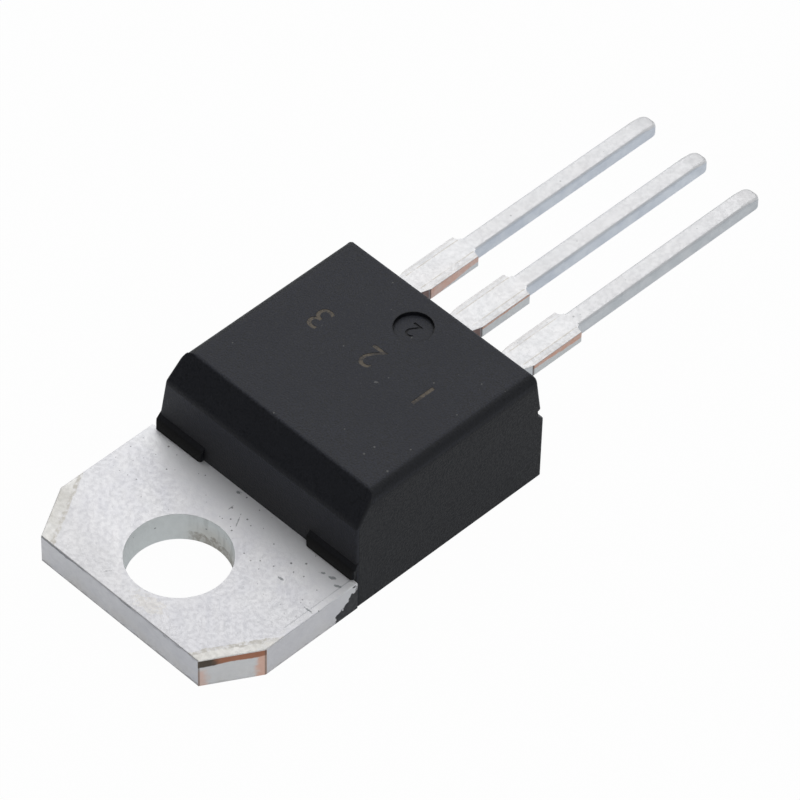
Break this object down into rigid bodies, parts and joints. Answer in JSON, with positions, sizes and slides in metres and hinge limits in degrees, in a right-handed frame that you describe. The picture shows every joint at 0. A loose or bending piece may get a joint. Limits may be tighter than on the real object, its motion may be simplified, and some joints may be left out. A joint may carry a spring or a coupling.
{
  "type": "triac",
  "caption": "Three-lead power package: straight leads, a bolt tab with cut corners and a mounting hole, and a black moulded body with a sloping front.",
  "frame": {"origin": "on the mounting hole's axis, in the seating face (the underside of the tab)", "axes": "+Y along the part from the bolt tab to the lead tips, +Z out of the front face along the mounting hole's axis, +X across the part towards lead A1"},
  "size_m": [0.0102, 0.0284, 0.0045],
  "materials": {
    "moulding": "fine-grained black epoxy moulding compound",
    "tinned_copper": "matt tin plating over stamped copper, bare copper on the cut edges",
    "silicon": "metallised silicon with a glassed moat",
    "solder": "reflowed lead-rich solder",
    "bond_wire": "drawn aluminium wire"
  },
  "bodies": {
    "root": {"moulded_body": "moulding", "heat_tab": "tinned_copper", "lead_a1": "tinned_copper", "lead_gate": "tinned_copper", "triac_chip": "silicon", "chip_solder": "solder", "a1_bond_wire": "bond_wire", "gate_bond_wire": "bond_wire"}
  },
  "joints": []
}
